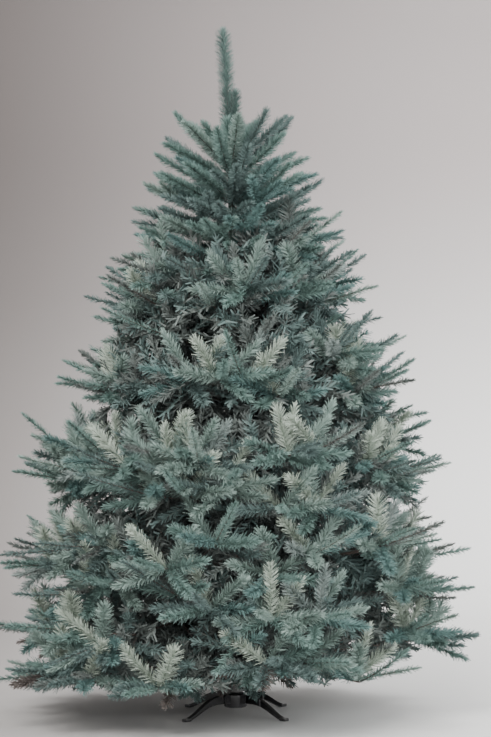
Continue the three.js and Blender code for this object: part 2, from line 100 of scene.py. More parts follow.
def whorlHeight(k):  # whole numbers are the source's whorls, halves lie between them
    share = k / (len(crown["counts"]) - 1)
    share += crown["crowding"] * share * (1 - share)
    return mix(crown["lowestWhorl"], crown["highestWhorl"], share)


def whorlRise(k):
    return crown["highestRise"] * max(k / (len(crown["counts"]) - 1), 0) ** crown["riseCurve"]


def boughHeight(k, azimuth, radius):
    climb = (radius - crown["hingeAt"]) * tan(radians(whorlRise(k)))
    return whorlHeight(k) + climb + crown["slope"] * radius * cos(radians(azimuth))


def whorlReach(k):  # settles where the whorl's bough meets the crown's face
    reach = crown["radius"]
    for _ in range(12):
        reach = mix(reach, crownReach(boughHeight(k, 90, reach)), 0.7)
    return reach


def azimuthOf(k, j, count):
    return crown["firstAzimuth"] + crown["drift"] * k + (360 / count) * (j + (k % 2) / 2)


def heading(azimuth, rise):
    a, e = radians(azimuth), radians(rise)
    return Vector((cos(a) * cos(e), sin(a) * cos(e), sin(e)))


# Materials.

colours = {  # plain base colours, dealt out by sprig: the dark ones dealt inside and under the crown are painted shade, the pale one is partly painted light
    "pale": (0.385, 0.445, 0.378),
    "sage": (0.215, 0.290, 0.258),
    "mist": (0.222, 0.268, 0.254),
    "teal": (0.146, 0.226, 0.202),
    "blue": (0.120, 0.204, 0.192),
    "deep": (0.114, 0.165, 0.156),
    "shade": (0.134, 0.156, 0.146),
    "brown": (0.118, 0.102, 0.094),
}


def feed(tree, node, inputs):  # gives each input a value, or links another node's output to it
    for key, value in inputs.items():
        if isinstance(value, bpy.types.NodeSocket):
            tree.links.new(value, node.inputs[key])
        else:
            node.inputs[key].default_value = value


def addNode(tree, kind, inputs=None, **settings):
    node = tree.nodes.new(kind)
    for key, value in settings.items():
        setattr(node, key, value)
    feed(tree, node, inputs or {})
    return node


def newMaterial(name, colour, roughness, metallic=0.0):
    material = bpy.data.materials.new(name)
    material.use_nodes = True
    shader = material.node_tree.nodes["Principled BSDF"]
    plain = {"Base Color": (*colour, 1), "Roughness": roughness, "Metallic": metallic}
    feed(material.node_tree, shader, plain)
    return material, shader


wear = {
    "patchScale": 14, "patchDetail": 3, "grainDetail": 5, "edgeFrom": 0.52, "edgeTo": 0.62,
    "dust": (0.32, 0.31, 0.29), "smoothest": 0.2, "roughest": 0.5, "dentDepth": 0.0006,
}


def wearGroup():  # lighter edges, dust on what faces up, and small dents
    group = bpy.data.node_groups.new("handlingWear", "ShaderNodeTree")
    for way, kind, names in (("INPUT", "Color", ("Paint", "Rubbed")),
                             ("INPUT", "Float", ("Edge", "Dust", "Grain")),
                             ("OUTPUT", "Color", ("Colour",)),
                             ("OUTPUT", "Float", ("Roughness", "Height"))):
        for name in names:
            group.interface.new_socket(name, in_out=way, socket_type="NodeSocket" + kind)
    given = addNode(group, "NodeGroupInput").outputs
    surface = addNode(group, "ShaderNodeNewGeometry").outputs
    place = addNode(group, "ShaderNodeTexCoord").outputs["Object"]

    def noise(scale, detail):
        inputs = {"Vector": place, "Scale": scale, "Detail": detail}
        return addNode(group, "ShaderNodeTexNoise", inputs).outputs["Fac"]

    def spread(source, end, low, high):
        inputs = {"Value": source, end + " Min": low, end + " Max": high}
        return addNode(group, "ShaderNodeMapRange", inputs).outputs["Result"]

    def times(*pair, clamped=True):
        inputs = dict(enumerate(pair))
        node = addNode(group, "ShaderNodeMath", inputs, operation="MULTIPLY", use_clamp=clamped)
        return node.outputs[0]

    def blend(mask, under, over):
        inputs = {"Factor": mask, "A": under, "B": over}
        return addNode(group, "ShaderNodeMix", inputs, data_type="RGBA").outputs["Result"]

    grain = noise(given["Grain"], wear["grainDetail"])
    patches = noise(wear["patchScale"], wear["patchDetail"])
    edges = spread(surface["Pointiness"], "From", wear["edgeFrom"], wear["edgeTo"])
    edgeMask = times(times(edges, patches, clamped=False), given["Edge"])
    split = addNode(group, "ShaderNodeSeparateXYZ", {0: surface["Normal"]})
    dustMask = times(times(split.outputs["Z"], patches), given["Dust"])
    rubbed = blend(edgeMask, given["Paint"], given["Rubbed"])
    addNode(group, "NodeGroupOutput", {
        "Colour": blend(dustMask, rubbed, (*wear["dust"], 1)),
        "Roughness": spread(patches, "To", wear["smoothest"], wear["roughest"]),
        "Height": grain,
    })
    return group


handlingWear = wearGroup()


finishes = {  # paint, rubbed edge, edge wear, dust, grain scale, bump, metallic, coat
    "stemFilm": ((0.170, 0.198, 0.174), (0.21, 0.22, 0.19), 0.4, 0.2, 300, 0.3, 0.0, 0.0),
    "woundWire": ((0.075, 0.055, 0.047), (0.15, 0.12, 0.10), 0.5, 0.3, 260, 0.5, 0.0, 0.0),
    "poleGreen": ((0.028, 0.048, 0.036), (0.16, 0.17, 0.16), 0.7, 0.5, 420, 0.15, 0.2, 0.0),
    "standBlack": ((0.010, 0.010, 0.011), (0.20, 0.20, 0.21), 0.8, 0.14, 520, 0.12, 0.0, 0.35),
    "zincSteel": ((0.42, 0.43, 0.44), (0.7, 0.7, 0.7), 0.6, 0.4, 300, 0.2, 0.9, 0.0),
    "gripPlastic": ((0.02, 0.02, 0.021), (0.08, 0.08, 0.08), 0.5, 0.4, 700, 0.25, 0.0, 0.0),
    "footRubber": ((0.03, 0.03, 0.03), (0.07, 0.07, 0.07), 0.3, 0.7, 900, 0.35, 0.0, 0.0),
}


def wornMaterial(name):
    paint, rubbed, edge, dust, grain, bump, metallic, coat = finishes[name]
    material, shader = newMaterial(name, paint, 0.4, metallic)
    tree = material.node_tree
    own = {"Paint": (*paint, 1), "Rubbed": (*rubbed, 1), "Edge": edge, "Dust": dust, "Grain": grain}
    worn = addNode(tree, "ShaderNodeGroup", node_tree=handlingWear)
    feed(tree, worn, own)
    dents = {"Strength": bump, "Distance": wear["dentDepth"], "Height": worn.outputs["Height"]}
    relief = addNode(tree, "ShaderNodeBump", dents)
    feed(tree, shader, {"Base Color": worn.outputs["Colour"], "Roughness": worn.outputs["Roughness"],
                        "Normal": relief.outputs["Normal"], "Coat Weight": coat})
    return material


needleFinish = {"roughness": 0.62, "specular": 0.32}
needleMaterials = {}
for tint, colour in colours.items():
    needleMaterials[tint], shader = newMaterial("needles_" + tint, colour, needleFinish["roughness"])
    shader.inputs["Specular IOR Level"].default_value = needleFinish["specular"]
stemMaterial, wireMaterial, polePaint, standPaint, zincSteel, gripPlastic, footRubber = (
    wornMaterial(name) for name in finishes)
print("materials made")


def meshOf(name, bm):
    mesh = bpy.data.meshes.new(name)
    bm.to_mesh(mesh)
    bm.free()
    return mesh


def linked(name, data):
    thing = bpy.data.objects.new(name, data)
    bpy.context.scene.collection.objects.link(thing)
    return thing


def addPiece(name, bm, material, slotName, *replaced, smooth=False):
    placePiece(name, meshOf(name, bm), material, slotName, *replaced, smooth=smooth)


def placePiece(name, mesh, material, slotName, *replaced, smooth=False):
    piece = linked(name, mesh)
    mesh.materials.append(material)
    if smooth:
        mesh.shade_smooth()
        piece.modifiers.new("weighted", "WEIGHTED_NORMAL").keep_sharp = True
    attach(piece, "root")
    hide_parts(*replaced)


# Growing the crown.

growth = {
    "seed": 41,
    "tiers": [(0, 10), (0.5, 9), (1, 10), (1.5, 8), (2, 8),  # whorl and number of boughs
              (2.5, 7), (3, 8), (3.5, 6), (4, 8), (4.3, 5)],
    "sprigLength": (0.142, 0.176),
    "tipLength": (0.185, 0.235),
    "halfWidth": 0.0272,
    "unevenRise": 8.5,
    "shortfall": 0.10,
    "innerDepth": 0.66, "middleDepth": 0.79,  # few needles up to the first, some up to the second
    "alongShadeDepth": 0.76,  # sprigs along a branch keep their painted shade as far out as this
    "facing": 0.9,  # how far the stars turn away from the pole
    "lowestTip": 0.098, "lowestSlope": 0.2, "lowestFront": 0.1,  # higher to its right and its front
    "outerShare": 0.55,  # of the side branches that reach the crown's face
    "innerReach": 0.70,  # how far out the others go
}
sprig = {  # how each one is fitted into the crown, tinted and given its needles
    "within": 0.985, "lowBelow": 0.5, "lowWithin": 1.015, "shrink": 0.92, "tries": 5,
    "lift": 9, "lifts": 4,  # one that hangs too low is lifted by this, so many times
    "steep": 0.6, "faceSway": 0.3, "nearTip": 0.65, "uneven": (0.92, 1.08), "bend": (-0.3, 0.6),
    "undersideShadeBelow": 0.24, "shadeDepth": 0.5, "uprightFrom": 0.45, "liftedFrom": 0.2,
    "pale": 0.42, "paleBelow": 1.2, "paleAbove": 0.35,  # the share of pale ones, partly painted light, and of that higher up
    "fullFrom": 0.6, "longFrom": 0.182,
}
draw = np.random.default_rng(growth["seed"])
sprigs = []  # root, direction, face, length, half width, bend, tint, kind
wires = []  # points, radii
ends = []  # the place and axis of each star on the crown's face


def between(low, high):
    return low + (high - low) * draw.random()


def sway(most):
    return between(-most, most)


def turned(vector, azimuth, rise):  # turned about +Z, then lifted
    flat = atan2(vector.y, vector.x) + radians(azimuth)
    lift = asin(max(-1, min(1, vector.z))) + radians(rise)
    lift = max(-1.5, min(1.5, lift))
    return Vector((cos(flat) * cos(lift), sin(flat) * cos(lift), sin(lift)))


def leaning(axis, off, roll):  # off degrees away from the axis, towards its right at roll 0 and up at 90
    right = axis.cross(skyward).normalized()
    up = right.cross(axis)
    a, b = radians(off), radians(roll)
    return (axis * cos(a) + (right * cos(b) + up * sin(b)) * sin(a)).normalized()


def keepSprig(root, direction, face, length, halfWidth, tint, kind):
    face = (face - direction * face.dot(direction)).normalized()
    bend = between(*sprig["bend"])
    sprigs.append((root.copy(), direction.copy(), face, length, halfWidth, bend, tint, kind))


tints = {  # each tint up to its share, for one place in the crown; the dark shares low under the boughs, inside, on hanging sprigs and on tips are painted shade
    "low": (("brown", 0.2), ("shade", 0.45), ("deep", 1)),
    "inside": (("deep", 0.5), ("shade", 1)),
    "upright": (("sage", 0.92), ("mist", 1)),
    "lifted": (("sage", 0.35), ("mist", 0.5), ("teal", 0.8), ("blue", 1)),
    "tip": (("deep", 0.34), ("shade", 0.5), ("teal", 0.8), ("sage", 1)),
    "side": (("teal", 0.34), ("blue", 0.56), ("deep", 0.66), ("sage", 0.93), ("mist", 1)),
    "along": (("teal", 0.4), ("blue", 0.66), ("deep", 0.86), ("sage", 0.95), ("mist", 1)),
    "hanging": (("brown", 0.25), ("deep", 0.65), ("teal", 1)),
    "top": (("teal", 0.4), ("blue", 0.6), ("deep", 0.85), ("sage", 1)),
}


def dealTint(place, luck):
    return next(tint for tint, share in tints[place] if luck < share)


def depthAt(point):  # how far out a point is, as a share of the crown's reach there
    return radiusOf(point) / reachAt(point)


def lowestAt(point, lowest):
    return lowest + growth["lowestSlope"] * max(point.x, 0) + growth["lowestFront"] * max(-point.y, 0)


# Painted shade: sprigs low and facing down, and those deep in the crown, get dark tints where shade falls.
# Painted light, in part: upturned star sprigs get the pale tint.
def chooseTint(root, tip, direction, depth, star, rich):
    luck = draw.random()
    if root.z < sprig["undersideShadeBelow"] and direction.z < -0.1:
        return dealTint("low", luck)
    if depth < sprig["shadeDepth"]:
        return "shade"
    if depth < growth["innerDepth" if rich else "alongShadeDepth"]:
        return dealTint("inside", luck)
    if direction.z > sprig["uprightFrom"] and star:
        pale = sprig["pale"] * star * (1 if tip.z < sprig["paleBelow"] else sprig["paleAbove"])
        return "pale" if luck < pale else dealTint("upright", luck)
    if direction.z > sprig["liftedFrom"] and star:
        return dealTint("lifted", luck)
    if rich:
        return dealTint("side" if star else "tip", luck)
    return dealTint("along", luck)


# star is how pale an upturned sprig may be, partly as painted light; rich ones keep their full number of
# needles further in
def addSprig(root, direction, length, width=1.0, star=0.0, overreach=0.0, rich=False):
    if overreach:
        inset = 1 + overreach
    else:
        inset = 1.0 if rich else sprig["within"] - growth["shortfall"] * draw.random()
    if root.z < sprig["lowBelow"]:
        inset = min(inset, sprig["lowWithin"])
    for _ in range(sprig["tries"]):
        tip = root + direction * length
        if radiusOf(tip) <= reachAt(tip) * inset:
            break
        length *= sprig["shrink"]
    else:
        return
    lowest = lowestAt(root, growth["lowestTip"])
    for _ in range(sprig["lifts"]):
        if (root + direction * length).z >= lowest:
            break
        direction = turned(direction, 0, sprig["lift"])
    else:
        return
    face = skyward + Vector((sway(sprig["faceSway"]), sway(sprig["faceSway"]), 0))
    if direction.z > sprig["steep"]:
        face = skyward * 0.3 - flatOf(direction)
    tip = root + direction * length
    depth = mix(depthAt(root), depthAt(tip), sprig["nearTip"])
    tint = chooseTint(root, tip, direction, depth, star, rich)
    richFrom = sprig["fullFrom"] if star else growth["innerDepth"]
    if depth > growth["middleDepth"] or rich and depth > richFrom:
        kind = "long" if length > sprig["longFrom"] else "full"
    else:
        kind = "inner" if depth < growth["innerDepth"] else "middle"
    width *= growth["halfWidth"] * between(*sprig["uneven"])
    keepSprig(root, direction, face, length, width, tint, kind)


rosette = {  # roll about the axis, least and most off it, width and paleness of each sprig
    "ring": [(3, 54, 74, 1.08, 0.6), (177, 54, 74, 1.08, 0.6),  # to the sides
             (52, 58, 76, 1.2, 1.05), (128, 58, 76, 1.2, 1.05)],  # the upturned pair
    "under": [(-28, 36, 58, 1, 0.3), (208, 36, 58, 1, 0.3)], "underChance": 0.7,
    "middle": (90, 60, 78, 0.95, 1.2), "middleChance": 0.22,
    "down": (44, 66, 1, 0), "downChance": 0.25, "downFrom": 0.3,
    "low": ((-70, -20), (200, 250)), "lowOff": (24, 46, 1, 0), "lowBelow": 0.26,
    "tipWidth": 0.70, "overreach": (0.04, 0.13), "spin": 14, "rollSway": 10, "downSway": 35,
    "tipYaw": (-7, 7), "tipRise": (-4, 8), "back": (0.002, 0.04),
    "innerRolls": (0, 180, 90, -90), "innerOff": (35, 60), "innerLength": (0.11, 0.15),
    "innerSway": 25, "innerBack": (0.0, 0.03),
}


def addStar(tip, axis, outer):  # the rosette at a branch's end
    if not outer:
        for roll in rosette["innerRolls"]:
            back = tip - axis * between(*rosette["innerBack"])
            way = leaning(axis, between(*rosette["innerOff"]), roll + sway(rosette["innerSway"]))
            addSprig(back, way, between(*rosette["innerLength"]))
        return
    outward = flatOf(axis + flatOf(tip).normalized() * growth["facing"])
    outward = outward.normalized() * sqrt(1 - axis.z ** 2)
    axis = Vector((outward.x, outward.y, axis.z))
    ends.append((tip.copy(), axis.copy()))
    overreach = between(*rosette["overreach"])
    way = turned(axis, between(*rosette["tipYaw"]), between(*rosette["tipRise"]))
    length = between(*growth["tipLength"]) * (1 + overreach)
    addSprig(tip, way, length, rosette["tipWidth"], 0, overreach, True)
    spin = sway(rosette["spin"])
    ring = rosette["ring"] + [row for row in rosette["under"] if draw.random() < rosette["underChance"]]
    ring += [rosette["middle"]] if draw.random() < rosette["middleChance"] else []
    if draw.random() < rosette["downChance"] and tip.z > rosette["downFrom"]:
        ring += [(-90 + sway(rosette["downSway"]), *rosette["down"])]
    if tip.z < rosette["lowBelow"]:
        ring += [(between(*rolls), *rosette["lowOff"]) for rolls in rosette["low"]]
    for roll, least, most, width, paleness in ring:
        back = tip - axis * between(*rosette["back"])
        way = leaning(axis, between(least, most), roll + spin + sway(rosette["rollSway"]))
        addSprig(back, way, between(*growth["sprigLength"]), width, paleness, 0, True)


branch = {  # sprigs on alternate sides of a branch, and some that stand up from it
    "spacing": 0.12, "off": (44, 64), "roll": (-10, 30),
    "upOff": (48, 70), "upRoll": 40, "upLength": (0.13, 0.16), "upPale": 0.7,
    "fill": 4, "fillDepth": (0.05, 0.62), "fillOff": (45, 88), "fillLength": (0.12, 0.165),
    "steps": 4, "lift": 9, "sway": 5, "starRoom": 0.12, "wire": (0.0024, 0.0018),
}


def addAlong(points, start, stop, upShare):
    run = sum((b - a).length for a, b in zip(points, points[1:]))
    at, side = start + between(0, 0.03), 1 if draw.random() < 0.5 else -1
    while at < run - stop:
        share = at / run * (len(points) - 1)
        n = min(int(share), len(points) - 2)
        place = points[n].lerp(points[n + 1], share - n)
        axis = (points[n + 1] - points[n]).normalized()
        roll = between(*branch["roll"]) if side > 0 else 180 - between(*branch["roll"])
        way = leaning(axis, between(*branch["off"]), roll)
        addSprig(place, way, between(*growth["sprigLength"]), 1, 0.3)
        if draw.random() < upShare:
            way = leaning(axis, between(*branch["upOff"]), 90 + sway(branch["upRoll"]))
            addSprig(place, way, between(*branch["upLength"]), 1, branch["upPale"])
        side = -side
        at += branch["spacing"] * between(0.75, 1.25)


def addFill(path):  # short sprigs round the inner part of a bough, dark with painted shade
    least, most = branch["fillDepth"]
    for start, end in zip(path, path[1:]):
        axis = (end - start).normalized()
        for _ in range(branch["fill"]):
            place = start.lerp(end, draw.random())
            if least < depthAt(place) < most:
                way = leaning(axis, between(*branch["fillOff"]), between(0, 360))
                addSprig(place, way, between(*branch["fillLength"]), 1.1)


def addBranch(root, direction, length, outer):  # a side branch, which rises a little to its tip
    points, way = [root.copy()], direction.copy()
    steps, lift = branch["steps"], between(0, branch["lift"])
    for _ in range(steps):
        way = turned(way, sway(branch["sway"]), lift / steps)
        points.append(points[-1] + way * (length / steps))

    def tooFar(point):
        reach = reachAt(point)
        most = reach - branch["starRoom"] if outer else reach * growth["innerReach"]
        return radiusOf(point) > most

    while len(points) > 2 and tooFar(points[-1]):
        points.pop()
    wires.append((points, np.linspace(*branch["wire"], len(points))))
    addAlong(points, 0.07, 0.06, 0.2 if outer else 0.6)
    addStar(points[-1], (points[-1] - points[-2]).normalized(), outer)


def boughPath(k, azimuth, reach, steps=10):
    points = []
    for n in range(steps + 1):
        radius = mix(crown["hingeAt"], reach, n / steps)
        flat = heading(azimuth, 0) * radius
        points.append(Vector((flat.x, flat.y, boughHeight(k, azimuth, radius))))
    return points


hanging = {
    "shares": (0.08, 0.2, 0.32, 0.48, 0.7, 0.95), "shareSway": 0.06, "yaw": 40,
    "droop": (36, 8), "moreDroop": (-12, 0), "clearance": 0.052, "width": 0.9,
}


def addHanging(path):  # sprigs that droop under the lowest boughs, steeply near the pole
    for share in hanging["shares"]:
        place = path[0].lerp(path[-1], share + sway(hanging["shareSway"]))
        yaw, more = sway(hanging["yaw"]), between(*hanging["moreDroop"])
        way = turned(flatOf(place).normalized(), yaw, more - mix(*hanging["droop"], share))
        length, width = between(*growth["sprigLength"]), growth["halfWidth"] * hanging["width"]
        if place.z + way.z * length > lowestAt(place, hanging["clearance"]):
            keepSprig(place, way, skyward, length, width, dealTint("hanging", draw.random()), "full")


bough = {
    "starRoom": (0.155, 0.185), "shortest": 0.09, "wire": (0.0042, 0.0026), "wireGap": 0.01,
    "forks": ((0.3, (0.42, 0.70)), (0.14, (0.6,)), (0, ())),  # where they are, if it is longer than this
    "forkLength": 0.5, "forkExtra": 0.08, "forkYaw": (60, 38), "forkRise": (-12, 20),
    "outer": 1.15, "inner": 0.9,  # how much longer the outer forks are
}


def growBough(k, azimuth, reachShare, hinged, upOrDown):
    endAt = max(whorlReach(k) * reachShare - between(*bough["starRoom"]), bough["shortest"])
    path = boughPath(k, azimuth, endAt)
    tilt = upOrDown * between(0.1, 1) * growth["unevenRise"]
    # From the wound part's end outwards, each bough keeps a rise of its own.
    woundTo = crown["boughShare"] * whorlReach(k) if hinged else crown["hingeAt"]
    for point in path:
        point.z += max(radiusOf(point) - woundTo, 0) * tan(radians(tilt))
    wire = path
    if hinged:
        start = heading(azimuth, 0) * woundTo
        start.z = boughHeight(k, azimuth, woundTo)
        wire = [start] + [p for p in path if radiusOf(p) > woundTo + bough["wireGap"]]
    wires.append((wire, np.linspace(*bough["wire"], len(wire))))
    total = endAt - crown["hingeAt"]
    shares = next(shares for least, shares in bough["forks"] if total > least)
    for n, share in enumerate(shares):
        for side in (-1, 1):
            spot = share + sway(0.05)
            whole = min(int(spot * 10), 9)
            place = path[whole].lerp(path[whole + 1], spot * 10 - whole)
            axis = (path[whole + 1] - path[whole]).normalized()
            length = (1 - spot) * bough["forkLength"] * total + bough["forkExtra"]
            length *= between(0.85, 1.2)
            yaw = side * mix(*bough["forkYaw"], spot) * between(0.85, 1.15)
            outer = n == len(shares) - 1 and draw.random() < growth["outerShare"]
            length *= bough["outer" if outer else "inner"]
            addBranch(place, turned(axis, yaw, between(*bough["forkRise"])), length, outer)
    addAlong(path, 0.07, 0.07, 0.4)
    addFill(path)
    if k == 0:
        addHanging(path)
    addStar(path[-1], (path[-1] - path[-2]).normalized(), True)


for k, count in growth["tiers"]:
    whole = k == int(k)
    first = azimuthOf(k, 0, crown["counts"][int(k)]) if whole else azimuthOf(k, 0, count) + 17 * k
    for j in range(count):
        onLimb = whole and j % (count // crown["counts"][int(k)]) == 0
        azimuth = first + 360 / count * j + (0 if onLimb else sway(6))
        level = k if whole else k + sway(0.24)
        share = 1 if onLimb else between(0.92, 1)
        growBough(level, azimuth, share, onLimb and k < crown["boughWhorls"], (-1) ** j)
print("boughs grown:", len(sprigs), "sprigs,", len(wires), "wires")

# The top: single long sprigs straight from the pole, and the leader.
top = {  # height, count, length, rise, first azimuth
    "whorls": [
        (1.318, 7, 0.355, 3, 20), (1.350, 6, 0.350, 4, -10), (1.382, 7, 0.340, 6, 5),
        (1.412, 6, 0.325, 9, 40), (1.444, 7, 0.305, 12, -90), (1.474, 6, 0.295, 15, 62),
        (1.504, 7, 0.280, 18, -85), (1.530, 6, 0.268, 20, -118), (1.557, 6, 0.256, 25, -70),
        (1.586, 6, 0.254, 30, -95), (1.616, 5, 0.258, 34, -130), (1.642, 5, 0.232, 36, -80),
        (1.655, 4, 0.140, 60, -105),
    ],
    "rootAt": 0.009, "bare": 0.012, "halfWidth": 0.0275, "wireRun": 0.03, "wire": (0.0026, 0.0022),
    "sideBelow": 20, "sideFrom": 0.24,  # the lower and longer ones carry a short side sprig or two
    "sideChance": 0.7, "sideAt": (0.3, 0.5), "sideYaw": (32, 48), "sideRise": (0, 14),
    "sideLength": (0.12, 0.15), "sideWidth": 0.0225,
    "leaderTip": 2.035,
}
for height, count, length, rise, first in top["whorls"]:
    for j in range(count):
        azimuth = first + 360 / count * j + sway(9)
        direction = heading(azimuth, rise + sway(5))
        direction.z += crown["slope"] * direction.x
        direction.normalize()
        root = Vector((0, 0, height + sway(0.012))) + heading(azimuth, 0) * top["rootAt"]
        run = length * between(0.9, 1.04)
        wires.append(([root, root + direction * top["wireRun"]], top["wire"]))
        tint = dealTint("top", draw.random())
        face = skyward if direction.z < sprig["steep"] else -flatOf(direction)
        bare, width = top["bare"], top["halfWidth"] * between(0.94, 1.06)
        keepSprig(root + direction * bare, direction, face, run - bare, width, tint, "top")
        for side in (-1, 1) if rise < top["sideBelow"] and run > top["sideFrom"] else ():
            if draw.random() < top["sideChance"]:
                at = root + direction * run * between(*top["sideAt"])
                way = turned(direction, side * between(*top["sideYaw"]), between(*top["sideRise"]))
                keepSprig(at, way, face, between(*top["sideLength"]), top["sideWidth"], tint, "full")

# Slender sprigs between the stars, all round but for the front, lengthen the crown's ragged edge.
fringe = {
    "share": 0.6, "frontTo": -0.8, "below": 1.3, "yaw": (14, 36), "rise": (-8, 12), "width": 0.62,
    "overreach": (0.01, 0.1), "back": 0.03,
}
for tip, axis in ends:
    if flatOf(tip).normalized().y < fringe["frontTo"] or tip.z > fringe["below"]:
        continue
    for side in (-1, 1):
        if draw.random() < fringe["share"]:
            way = turned(axis, side * between(*fringe["yaw"]), between(*fringe["rise"]))
            length, overreach = between(*growth["tipLength"]), between(*fringe["overreach"])
            addSprig(tip - axis * fringe["back"], way, length, fringe["width"], 0, overreach, True)

poleTop = Vector((0, 0, crown["poleTop"]))
lean = heading(180, 90 - crown["leaderLean"])
leaderTip = poleTop + lean * ((top["leaderTip"] - crown["poleTop"]) / lean.z)
print("sprigs in all:", len(sprigs))

# Needles and stems.

needle = {
    "kinds": {  # count, half width at the foot, and how much broader those close to the stem are
        "inner": (28, 0.0034, 1.25), "middle": (88, 0.0015, 2.2), "full": (290, 0.00107, 2.5),
        "long": (340, 0.00093, 2.5), "top": (820, 0.00074, 2.5),
    },
    "tip": 0.5,  # width there, of the foot's
    "templates": 14, "halfWidth": 0.0007,
    "coreShare": 0.25, "coreLength": 0.76,  # the broader ones
}


stance = {  # lengths are shares of the sprig's, angles are in degrees
    "start": 0.02, "evenness": 0.95, "jitter": (0.2, 0.8), "dealt": 20,
    "right": 0.21, "left": 0.42, "up": 0.64, "down": 0.80,  # each up to its share, the rest hug the stem
    "sideSpread": 26, "above": (25, 155), "below": (-155, -25),
    "lean": (58, 48), "hugLean": 30, "leanSpread": 3.5,  # off the stem, at its foot and its tip
    "tuftFrom": 0.84, "tuftLean": 0.42, "tuftCurve": 1.3, "tuftSize": 0.66,
    "footSize": 0.6, "footTo": 0.14, "sizes": (0.93, 1.04), "hugSize": 0.8, "upSize": 0.86,
    "stemShare": 0.93,
}


def sprigTemplate(count, broad, random):  # how the needles stand on a sprig of length 1
    s, order = stance, np.arange(count)
    spots = (order + random.uniform(*s["jitter"], count)) / count
    t = s["start"] + (1 - s["start"]) * spots ** s["evenness"]
    kind = ((order * 7) % s["dealt"] + 0.5) / s["dealt"]
    right, left = (random.normal(middle, s["sideSpread"], count) for middle in (0, 180))
    angle = np.where(kind < s["right"], right, left)
    angle = np.where(kind > s["left"], random.uniform(*s["above"], count), angle)
    angle = np.where(kind > s["up"], random.uniform(*s["below"], count), angle)
    hugging = kind > s["down"]
    angle = np.where(hugging, random.uniform(0, 360, count), angle)
    tuft = np.clip((t - s["tuftFrom"]) / (1 - s["tuftFrom"]), 0, 1)
    theta = np.where(hugging, s["hugLean"], mix(*s["lean"], t))
    theta *= mix(1, s["tuftLean"], tuft ** s["tuftCurve"])
    theta = np.radians(theta + random.normal(0, s["leanSpread"], count))
    size = mix(s["footSize"], 1.0, np.clip(t / s["footTo"], 0, 1)) * mix(1, s["tuftSize"], tuft)
    size *= random.uniform(*s["sizes"], count)
    size *= np.where(hugging, s["hugSize"], np.where(kind > s["left"], s["upSize"], 1.0))
    core = random.random(count) < needle["coreShare"]
    size = np.where(core, size * needle["coreLength"], size)
    return t * s["stemShare"], np.radians(angle), theta, size, np.where(core, broad, 1.0)


def buildNeedles(chosen, count, thick, broad, random):
    templates = [sprigTemplate(count, broad, random) for _ in range(needle["templates"])]
    pick = random.integers(0, needle["templates"], len(chosen))
    t, angle, theta, size, girth = (np.stack([templates[p][n] for p in pick]) for n in range(5))
    roots, along, face = (np.array([s[n] for s in chosen]) for n in range(3))
    length, half, bend = (np.array([s[n] for s in chosen])[:, None] for n in (3, 4, 5))
    across = np.cross(face, along)
    reach = half / np.sin(np.radians(56)) * size
    x = t * length
    span = np.stack([np.cos(theta), np.sin(theta) * np.cos(angle), np.sin(theta) * np.sin(angle)], axis=-1)
    outward = np.stack([np.zeros_like(x), np.cos(angle) * 0.5, np.sin(angle) * 0.5], axis=-1)
    outward += random.normal(0, 0.45, outward.shape)
    width = np.cross(span, outward)
    width /= np.linalg.norm(width, axis=-1, keepdims=True)
    width *= (girth * thick)[..., None]
    span = span * reach[..., None] * np.array([1, 1, 0.92])
    foot = np.stack([x, np.zeros_like(x), np.zeros_like(x)], axis=-1)
    tip, narrow = foot + span, width * needle["tip"]
    corners = np.stack([foot - width, foot + width, tip + narrow, tip - narrow], axis=2)
    corners[..., 2] += bend[..., None] * corners[..., 0] ** 2
    axes = np.stack([along, across, face], axis=1)
    placed = np.einsum("sncj,sjk->snck", corners, axes) + roots[:, None, None, :]
    return placed.reshape(-1, 3)


def needleMesh(name, vertices):  # one face for each four corners
    count = len(vertices) // 4
    mesh = bpy.data.meshes.new(name)
    mesh.vertices.add(count * 4)
    mesh.vertices.foreach_set("co", vertices.astype(np.float32).ravel())
    mesh.loops.add(count * 4)
    mesh.loops.foreach_set("vertex_index", np.arange(count * 4, dtype=np.int32))
    mesh.polygons.add(count)
    mesh.polygons.foreach_set("loop_start", np.arange(0, count * 4, 4, dtype=np.int32))
    mesh.update(calc_edges=True)
    return mesh


def tubeMesh(name, runs, sides):  # joined tubes along rows of points
    vertices, faces = [], []
    for points, radii in runs:
        base = len(vertices)
        for n, point in enumerate(points):
            before, after = points[max(n - 1, 0)], points[min(n + 1, len(points) - 1)]
            along = (after - before).normalized()
            across = along.cross(skyward)
            across = across.normalized() if across.length > 1e-3 else Vector((1, 0, 0))
            over = across.cross(along)
            for s in range(sides):
                turn = 2 * pi * s / sides
                rim = across * cos(turn) + over * sin(turn)
                vertices.append(point + rim * radii[n])
        for n in range(len(points) - 1):
            for s in range(sides):
                a, b = base + n * sides + s, base + n * sides + (s + 1) % sides
                faces.append((a, a + sides, b + sides, b))
        faces.append(tuple(base + s for s in range(sides)))
        last = base + (len(points) - 1) * sides
        faces.append(tuple(last + s for s in reversed(range(sides))))
    mesh = bpy.data.meshes.new(name)
    mesh.from_pydata([tuple(v) for v in vertices], [], faces)
    mesh.update()
    return mesh


tintRandom = np.random.default_rng(7)
pieceLimit = 96000  # needles in one piece
for tint in colours:
    vertices = []
    for kind, (count, thick, broad) in needle["kinds"].items():
        chosen = [s for s in sprigs if s[6] == tint and s[7] == kind]
        if chosen:
            vertices.append(buildNeedles(chosen, count, thick, broad, tintRandom))
            print("needles", tint, kind, len(chosen))
    vertices = np.concatenate(vertices)
    parts = max(1, ceil(len(vertices) / 4 / pieceLimit))
    step = ceil(len(vertices) / 4 / parts) * 4
    for part in range(parts):
        name = f"needles_{tint}_{part + 1}"
        mesh = needleMesh(name, vertices[part * step:(part + 1) * step])
        placePiece(name, mesh, needleMaterials[tint], "needles", *foliageNodes)
    print("needles", tint, len(vertices) // 2, "triangles")

